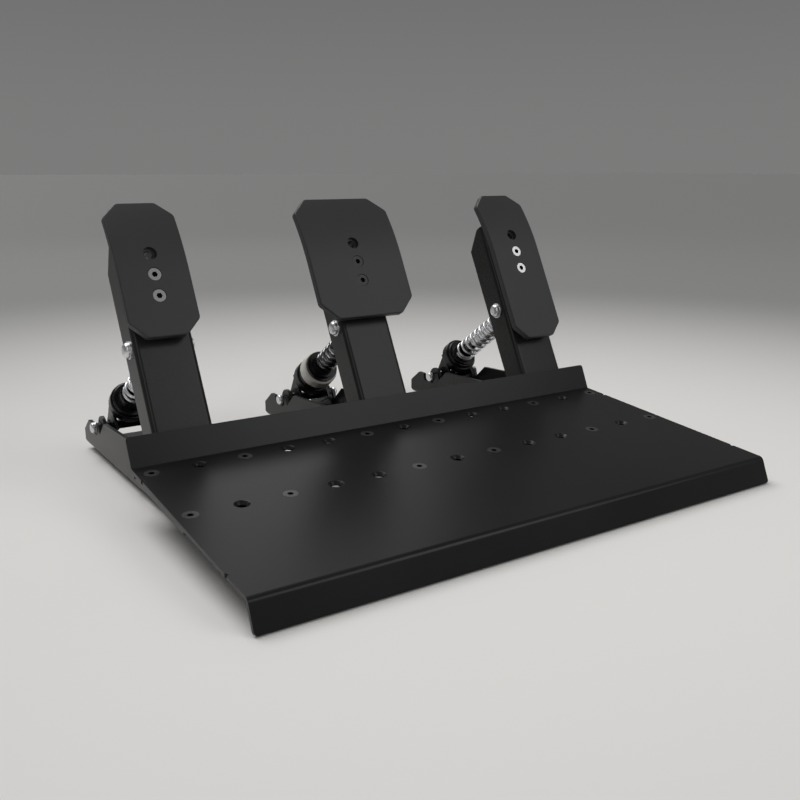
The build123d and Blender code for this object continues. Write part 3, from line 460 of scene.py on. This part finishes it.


# Faces inside a head's socket recess take the second slot, the near-black finish that is painted shade
def darkenSocket(screw, outward):
    top = max(vert.co.dot(outward) for face in screw for vert in face.verts)
    rimFrom = top - screwLook["rimDepth"]
    rim = {face for face in screw if face.calc_center_median().dot(outward) > rimFrom}
    corners = [vert.co for face in rim for vert in face.verts]
    if not corners:
        return
    low = Vector([min(corner[i] for corner in corners) for i in range(3)])
    high = Vector([max(corner[i] for corner in corners) for i in range(3)])
    centre = (low + high) / 2
    for face in screw - rim:
        away = face.calc_center_median() - centre
        depth = -away.dot(outward)
        aside = (away + outward * depth).length
        if 0 < depth < screwLook["socketDepth"] and aside < screwLook["socketRadius"]:
            face.material_index = 1


def screwed(nodeName, tilt):
    piece = mergedCopy(nodeName, ".screws")
    dress(piece, nodeName)
    piece.data.materials.append(socketShadeFinish)
    outward = Vector((0, -sin(tilt), cos(tilt)))
    shape = bmesh.new()
    shape.from_mesh(piece.data)
    for screw in islandsOf(shape):
        darkenSocket(screw, outward)
    shape.to_mesh(piece.data)
    shape.free()
    smoothed(piece)
    standFor(piece, nodeName)


screwed("heel_plate_screws", screwLook["plateTilt"])
for pedal in pedals:
    screwed(pedal + "_face_fixings", screwLook["faceTilt"])
print("screw sockets darkened")


# Rear pins of the struts: bright heads on a dark shank
pinLook = {"shank": 15 * mm}  # what is nearer than this to a pedal's middle is shank


def pinned(nodeName, look):
    piece = mergedCopy(nodeName, ".pins")
    dress(piece, nodeName)
    piece.data.materials.append(finishes["dark_rod"])
    middles = [eyeOf(pedal).x for pedal in pedals]
    for face in piece.data.polygons:
        if min(abs(face.center.x - middle) for middle in middles) < look["shank"]:
            face.material_index = 1
    smoothed(piece)
    standFor(piece, nodeName)


pinned("strut_pins", pinLook)
print("pin shanks darkened")


# Springs, wound again from round wire along a helix, with closed coils at both ends. Lengths are in mm.
springLook = {
    "clutch": {"wire": 2.6, "coil": 9.2, "turns": 6.0, "seat": 90.5, "stroke": 31.26},
    "brake": {"wire": 3.6, "coil": 8.1, "turns": 6.0, "seat": 77.0, "stroke": 14.08},
    "throttle": {"wire": 2.2, "coil": 9.1, "turns": 8.5, "seat": 98.5, "stroke": 28.14},
}
strutLook = {
    "slope": radians(35),
    "collar": 17.0,  # upper rest of each spring, down from the strut's eye, as its seat is
    "seatGap": 0.3,
    "closedGap": 0.6,  # between the closed coils at both ends
    "closedTurns": 2,  # at both ends together
    "closedShare": 2.5,  # closed coils that the rise of a free coil leaves room for
    "closedUntil": 0.75,  # turns from an end at which the coils begin to open
    "opening": 0.5,  # turns that they take to open
    "pointsPerTurn": 24,
    "roundness": 4,
    "smooth": radians(60),
}


def strutPlace(pedal, t):  # stands a piece on the strut's axis, t mm from its eye and looking down it
    down = Vector((0, cos(strutLook["slope"]), -sin(strutLook["slope"])))
    across = Vector((1, 0, 0))
    turn = Matrix((across, down.cross(across), down)).transposed().to_4x4()
    return Matrix.Translation(eyeOf(pedal) + down * t * mm) @ turn


def springPoints(look, height):
    closed = look["wire"] + strutLook["closedGap"]
    free = (height - closed * strutLook["closedShare"]) / look["turns"]
    total = look["turns"] + strutLook["closedTurns"]
    climb = 0
    points = []
    for i in range(round(total * strutLook["pointsPerTurn"]) + 1):
        turn = i / strutLook["pointsPerTurn"]
        angle = 2 * pi * turn
        points.append((look["coil"] * cos(angle), look["coil"] * sin(angle), climb))
        near = min(turn, total - turn)
        share = min(max((near - strutLook["closedUntil"]) / strutLook["opening"], 0), 1)
        climb += (closed + (free - closed) * share) / strutLook["pointsPerTurn"]
    start = strutLook["seatGap"] + look["wire"] / 2
    stretch = height / climb
    return [(x, y, start + z * stretch) for x, y, z in points]


def addSpring(pedal, look):
    length = look["seat"] - strutLook["collar"]
    height = length - look["wire"] - 2 * strutLook["seatGap"]
    curve = bpy.data.curves.new(pedal + ".spring", "CURVE")
    curve.dimensions = "3D"
    curve.bevel_depth = look["wire"] / 2 * mm
    curve.bevel_resolution = strutLook["roundness"]
    curve.use_fill_caps = True
    points = springPoints(look, height)
    line = curve.splines.new("POLY")
    line.points.add(len(points) - 1)
    for point, (x, y, z) in zip(line.points, points):
        point.co = (x * mm, y * mm, z * mm, 1)
    piece = bpy.data.objects.new(pedal + ".spring", curve)
    bpy.context.scene.collection.objects.link(piece)
    workOn(piece)
    bpy.ops.object.convert(target="MESH")
    piece = bpy.context.object
    piece.data.transform(strutPlace(pedal, strutLook["collar"]))
    bpy.ops.object.shade_smooth_by_angle(angle=strutLook["smooth"])
    dress(piece, pedal + "_spring")
    standFor(piece, pedal + "_spring")
    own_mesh(piece)


for pedal in pedals:
    addSpring(pedal, springLook[pedal])
print("springs wound")


# Stage: a pale floor that falls off into a grey backdrop, and a soft studio
stageLook = {
    "floor": 80.0,
    "near": (0.76, 0.746, 0.727),  # floor under and around the pedals
    "far": (0.26, 0.257, 0.253),
    "fall": (0.20, 1.25),  # distances between which the floor turns to its far colour
    "speckle": (60, 3),
    "rough": 0.62,
    "speckleRough": 0.1,
    "gloss": 0.2,
    "horizon": (0.20, 0.199, 0.197),
    "overhead": (0.13, 0.13, 0.132),
    "skyRise": 0.35,  # height in the sky at which it has its overhead colour
    "sun": {"from": (-0.12, 0.50, 0.86), "strength": 2.1, "angle": radians(40)},
    "strips": (
        {"place": (-1.3, -1.15, 1.2), "size": (0.12, 1.2), "watts": 3.5},
        {"place": (0.75, 1.9, 1.35), "size": (1.3, 1.0), "watts": 3.0},
        {"place": (1.0, -1.5, 1.3), "size": (1.2, 1.2), "watts": 10.0},
    ),
}


def addStage(look):
    clearSelection()
    bpy.ops.mesh.primitive_plane_add(size=look["floor"], location=(0, 0, 0))
    floor = bpy.context.object
    floor.name = "floor"
    f = Finish("floorPaint")
    distance = f.add("ShaderNodeVectorMath", {"operation": "LENGTH"}, {0: f.place}, out="Value")
    first, last = look["fall"]
    away = {"Value": distance, "From Min": first, "From Max": last}
    share = f.add("ShaderNodeMapRange", {"interpolation_type": "SMOOTHSTEP"}, away)
    speckle = f.noise(*look["speckle"])
    f.shade({
        "Base Color": f.mix(share, look["near"], look["far"]),
        "Roughness": look["rough"] + look["speckleRough"] * (speckle - noiseMean),
        "Specular IOR Level": look["gloss"],
    })
    floor.data.materials.append(f.material)


def addWorld(look):
    world = bpy.data.worlds.new("studio")
    world.use_nodes = True
    sky = NodeTree(world.node_tree)
    place = sky.add("ShaderNodeTexCoord", out="Generated")
    height = sky.add("ShaderNodeSeparateXYZ", inputs={0: place}, out="Z")
    rise = {"Value": height, "From Max": look["skyRise"]}
    share = sky.add("ShaderNodeMapRange", {"interpolation_type": "SMOOTHSTEP"}, rise)
    sky.feed(sky.tree.nodes["Background"].inputs["Color"], sky.mix(share, look["horizon"], look["overhead"]))
    bpy.context.scene.world = world


def addLamp(name, data, origin):  # a lamp that shines from its origin towards the pedals
    lamp = bpy.data.objects.new(name, data)
    bpy.context.scene.collection.objects.link(lamp)
    lamp.rotation_euler = (-Vector(origin)).to_track_quat("-Z", "Y").to_euler()
    return lamp


def addSun(look):
    data = bpy.data.lights.new("sun", "SUN")
    data.energy = look["strength"]
    data.angle = look["angle"]
    addLamp("sun", data, look["from"])


def addStrip(name, look):
    data = bpy.data.lights.new(name, "AREA")
    data.shape = "RECTANGLE"
    data.energy = look["watts"]
    data.size, data.size_y = look["size"]
    lamp = addLamp(name, data, look["place"])
    lamp.location = look["place"]


addStage(stageLook)
addWorld(stageLook)
addSun(stageLook["sun"])
for i, strip in enumerate(stageLook["strips"], start=1):
    addStrip("strip" + str(i), strip)
bpy.context.scene.view_settings.view_transform = "Standard"
print("stage and lights set")
